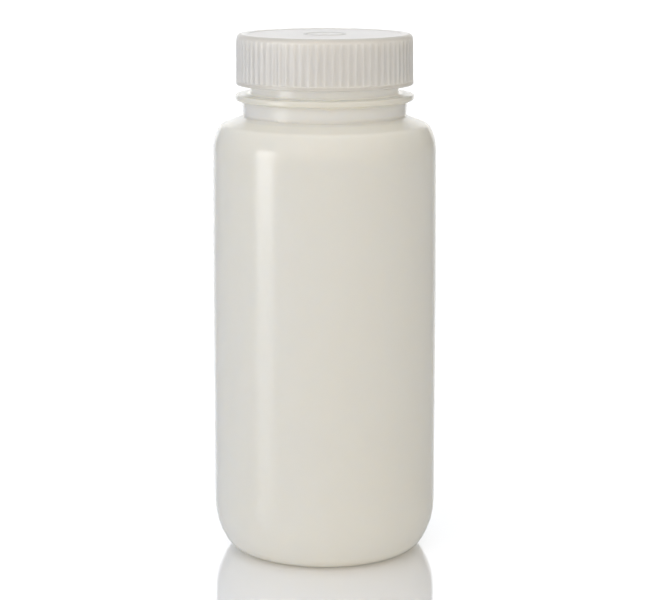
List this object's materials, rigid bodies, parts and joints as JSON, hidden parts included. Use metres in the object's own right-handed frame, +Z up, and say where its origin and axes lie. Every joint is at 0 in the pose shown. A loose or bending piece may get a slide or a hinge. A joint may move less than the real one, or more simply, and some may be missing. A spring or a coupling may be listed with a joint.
{
  "type": "wide-mouth sample bottle",
  "caption": "Cylindrical plastic sample bottle with a wide mouth, a ribbed screw cap that turns and lifts on a coarse thread, and a loose sealing liner under the cap.",
  "frame": {"origin": "centre of the ring that the bottle stands on", "axes": "+Z up along the bottle's axis, towards the cap"},
  "size_m": [0.073, 0.073, 0.1699],
  "materials": {
    "bottle_plastic": "natural milky polyethylene, satin, slightly translucent",
    "cap_plastic": "natural milky polypropylene, satin",
    "liner_foam": "white foamed polyethylene, dull"
  },
  "bodies": {
    "bottle": {"bottle": "bottle_plastic"},
    "liner": {"cap_liner": "liner_foam"},
    "cap": {"screw_cap": "cap_plastic"}
  },
  "joints": [
    {"name": "liner_lift", "type": "slide", "parent": "bottle", "child": "liner", "axis": [0, 0, 1], "range_m": [0, 0.0175]},
    {"name": "cap_turn", "type": "hinge", "parent": "liner", "child": "cap", "pos_m": [0, 0, 0.153], "axis": [0, 0, 1], "range_deg": [0, 1260]}
  ],
  "couplings": [
    {"joint": "liner_lift", "follows": "cap_turn", "m_per_rad": 0.00079577}
  ]
}
